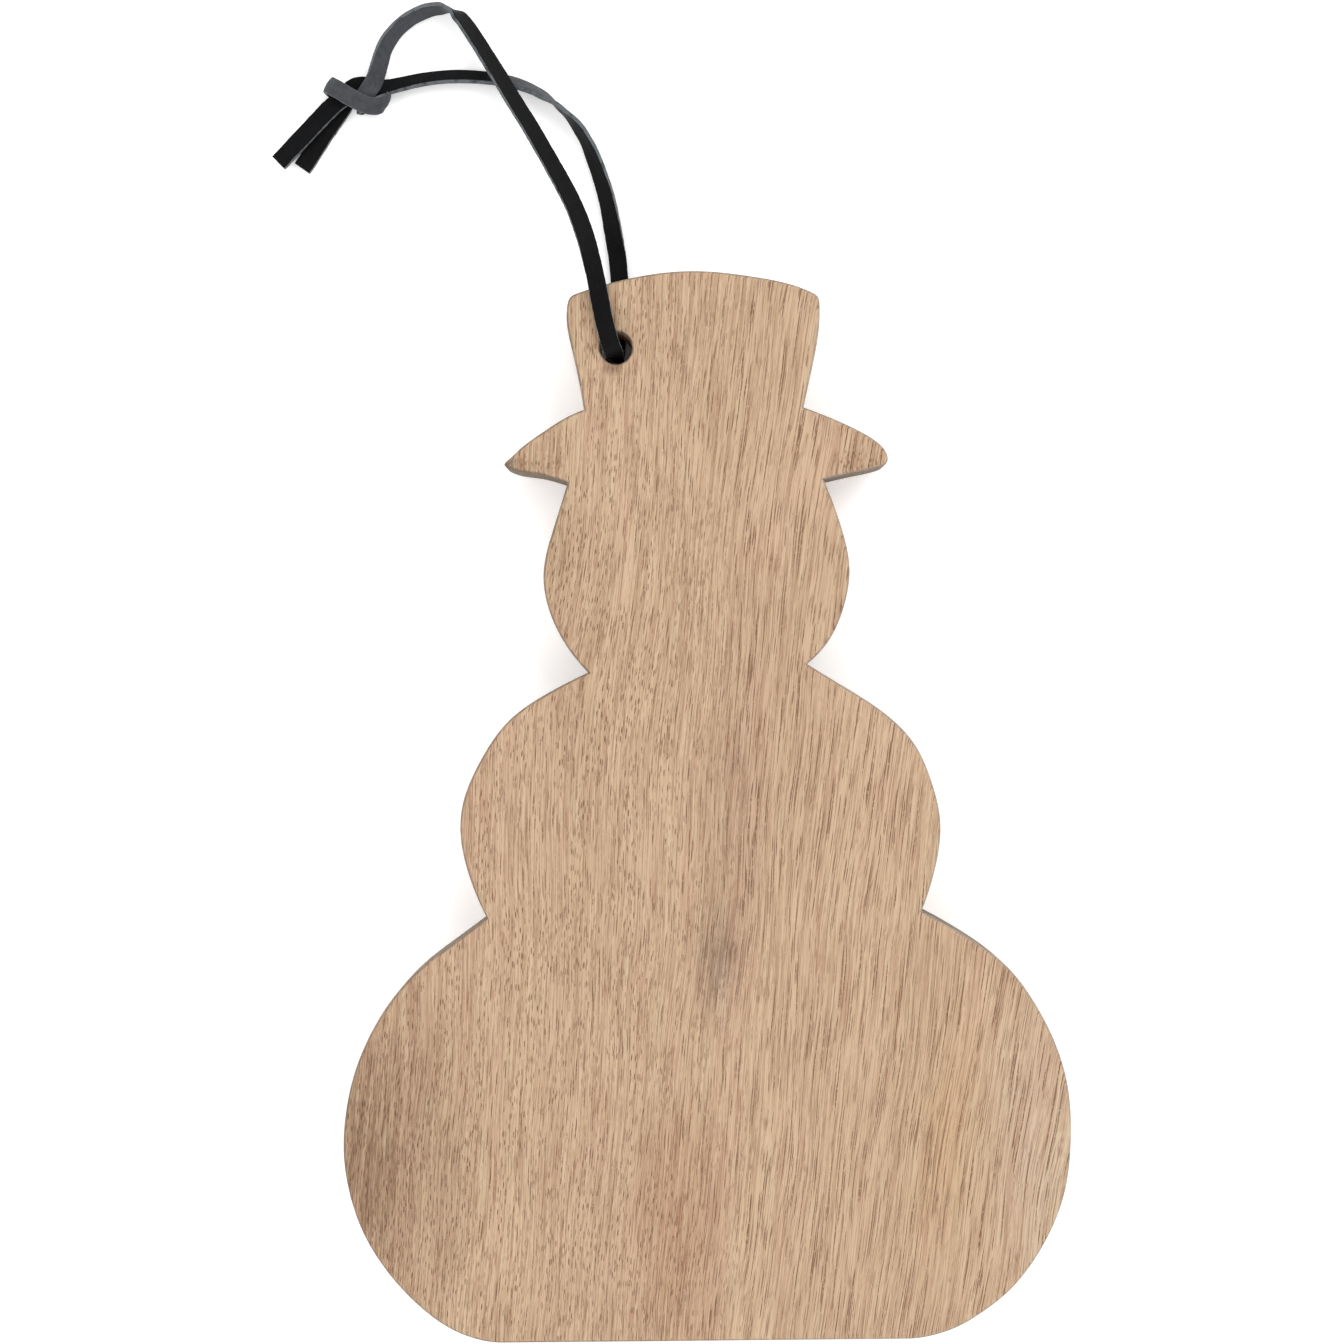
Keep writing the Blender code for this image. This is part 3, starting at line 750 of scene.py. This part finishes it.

    # The eased rim is painted with light and shade all round: olive brown painted shade at the
    # left, turned from the key light, paler and greyer at the right, where the key light falls,
    # painted shade darkest at the tip of the left brim. The rim is also nicked along the top of the
    # hat.
    rim = n.mul(n.step(level, 0.93, 0.80), n.step(level, 0.04, 0.22))
    rim_shade_patches = n.streak(x, y, (3.0, 3.0), 18, 3.0, 0.7)
    rim = n.mul(rim, n.step(rim_shade_patches, 0.30, 0.62, 0.35, 1.0))
    rim_shade_colour = n.mix(n.step(x, -30.0, 60.0), RIM_SHADE_LEFT, RIM_SHADE_RIGHT)
    colour = n.mix(n.mul(rim, 0.85), colour, rim_shade_colour)
    # Painted shade, darkest at the tip of the left brim.
    tip_shade_patches = n.step(n.streak(x, y, (1.5, 1.5), 22, 2.0), 0.3, 0.6, 0.5, 1.0)
    tip_shade = n.mul(n.spot(x, y, *LEFT_BRIM_TIP), tip_shade_patches)
    colour = n.mix(n.mul(tip_shade, 0.9), colour, RIM_SHADE_TIP)
    on_hat_top = n.mul(rim, n.step(y, 138.0, 141.0))
    nicks = n.mul(n.dashes(x, y, (1.3, 1.3), 19, 0.22, 0.10), on_hat_top)
    colour = n.mix(nicks, colour, WOOD_PORE)

    # Fibres torn out where the drill broke through, below the hole.
    torn = n.spot(x, y, *BELOW_HOLE)
    torn = n.mul(torn, n.step(n.streak(u, y, (0.7, 3.0), 20, 3.0, 0.7), 0.25, 0.6, 0.3, 1.0))
    colour = n.mix(n.mul(torn, 0.85), colour, TORN_FIBRES)
    n.set("Base Color", colour)

    holes = n.most(open_pores, n.mul(pits, ends))
    smooth = n.step(fibres, 0.2, 0.8, 0.55, 0.68)
    n.set("Roughness", n.math("MULTIPLY_ADD", holes, 0.15, smooth))
    n.set("Specular IOR Level", WOOD_SHINE)
    n.bump(n.sub(n.mul(fibres, 0.25), holes), 0.5, 0.25)
    return n.material


board = make_board(hardwood())
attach(board, "board")
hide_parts("board")

# ---------------------------------------------------------------- floor and light

# The floor's half width and how far it lies under the table plane, in metres. It glows a little,
# to stay white, but not under the hole: its glow starts at one distance from the hole's middle
# and is full at the other.
FLOOR_REACH, FLOOR_DROP = 3.0, 0.0002
FLOOR_WHITE, FLOOR_ROUGHNESS, FLOOR_SHINE = (0.93, 0.93, 0.93, 1.0), 0.9, 0.1
GLOW_STARTS, GLOW_FULL, GLOW_STRENGTH = 0.009, 0.014, 0.24
WHITE = (1.0, 1.0, 1.0, 1.0)

floor_mesh = bpy.data.meshes.new("studio_floor")
corners = [(-1, -1), (1, -1), (1, 1), (-1, 1)]
floor_mesh.from_pydata(
    [(FLOOR_REACH * x, FLOOR_REACH * y, 0) for x, y in corners], [], [(0, 1, 2, 3)])
floor_look = bpy.data.materials.new("studio_floor")
floor_look.use_nodes = True
floor_shader = floor_look.node_tree.nodes["Principled BSDF"]
floor_shader.inputs["Base Color"].default_value = FLOOR_WHITE
floor_shader.inputs["Roughness"].default_value = FLOOR_ROUGHNESS
floor_shader.inputs["Specular IOR Level"].default_value = FLOOR_SHINE
floor_nodes = floor_look.node_tree
floor_place = floor_nodes.nodes.new("ShaderNodeTexCoord")
floor_away = floor_nodes.nodes.new("ShaderNodeVectorMath")
floor_away.operation = "DISTANCE"
floor_nodes.links.new(floor_place.outputs["Object"], floor_away.inputs[0])
floor_away.inputs[1].default_value = (MM * HOLE[0], MM * HOLE[1], 0.0)
floor_glow = floor_nodes.nodes.new("ShaderNodeMapRange")
glow_range = (GLOW_STARTS, GLOW_FULL, 0.0, GLOW_STRENGTH)
for value, socket in zip(glow_range, list(floor_glow.inputs)[1:5]):
    socket.default_value = value
floor_nodes.links.new(floor_away.outputs["Value"], floor_glow.inputs[0])
floor_nodes.links.new(floor_glow.outputs[0], floor_shader.inputs["Emission Strength"])
floor_shader.inputs["Emission Color"].default_value = WHITE
floor_mesh.materials.append(floor_look)
floor = bpy.data.objects.new("studio_floor", floor_mesh)
floor.location.z = -FLOOR_DROP
bpy.context.scene.collection.objects.link(floor)


# Name, place, width and height in metres, and power in watts.
SOFTBOXES = [
    ("key_upper_right", (0.9, 0.85, 1.1), (1.0, 1.0), 9.4),
    ("fill_left", (-1.2, 0.1, 1.0), (1.3, 1.3), 5.3),
    ("fill_low", (0.1, -1.3, 0.9), (1.3, 1.1), 4.1),
]
LIT_POINT = Vector((0, 0.03, 0))

for name, place, size, power in SOFTBOXES:
    light_data = bpy.data.lights.new(name, "AREA")
    light_data.shape = "RECTANGLE"
    light_data.size, light_data.size_y = size
    light_data.energy = power
    lamp = bpy.data.objects.new(name, light_data)
    lamp.location = place
    lamp.rotation_euler = (LIT_POINT - Vector(place)).to_track_quat("-Z", "Y").to_euler()
    bpy.context.scene.collection.objects.link(lamp)

# The studio is bright all round and dimmer straight overhead, where the camera hangs. The first
# two are heights on the sky, 0 at the horizon and 1 overhead, between which it dims.
DIM_FROM, DIM_TO = 0.6, 0.95
SKY_ROUND, SKY_OVERHEAD = 1.42, 0.53

world = bpy.data.worlds.new("studio")
world.use_nodes = True
sky = world.node_tree
direction = sky.nodes.new("ShaderNodeTexCoord")
parts_of = sky.nodes.new("ShaderNodeSeparateXYZ")
sky.links.new(direction.outputs["Generated"], parts_of.inputs[0])
dim = sky.nodes.new("ShaderNodeMapRange")
dim.interpolation_type = "SMOOTHSTEP"
for value, socket in zip((DIM_FROM, DIM_TO, SKY_ROUND, SKY_OVERHEAD), list(dim.inputs)[1:5]):
    socket.default_value = value
sky.links.new(parts_of.outputs[2], dim.inputs[0])
background = sky.nodes["Background"]
background.inputs["Color"].default_value = WHITE
sky.links.new(dim.outputs[0], background.inputs["Strength"])
bpy.context.scene.world = world
bpy.context.scene.view_settings.view_transform = "Standard"
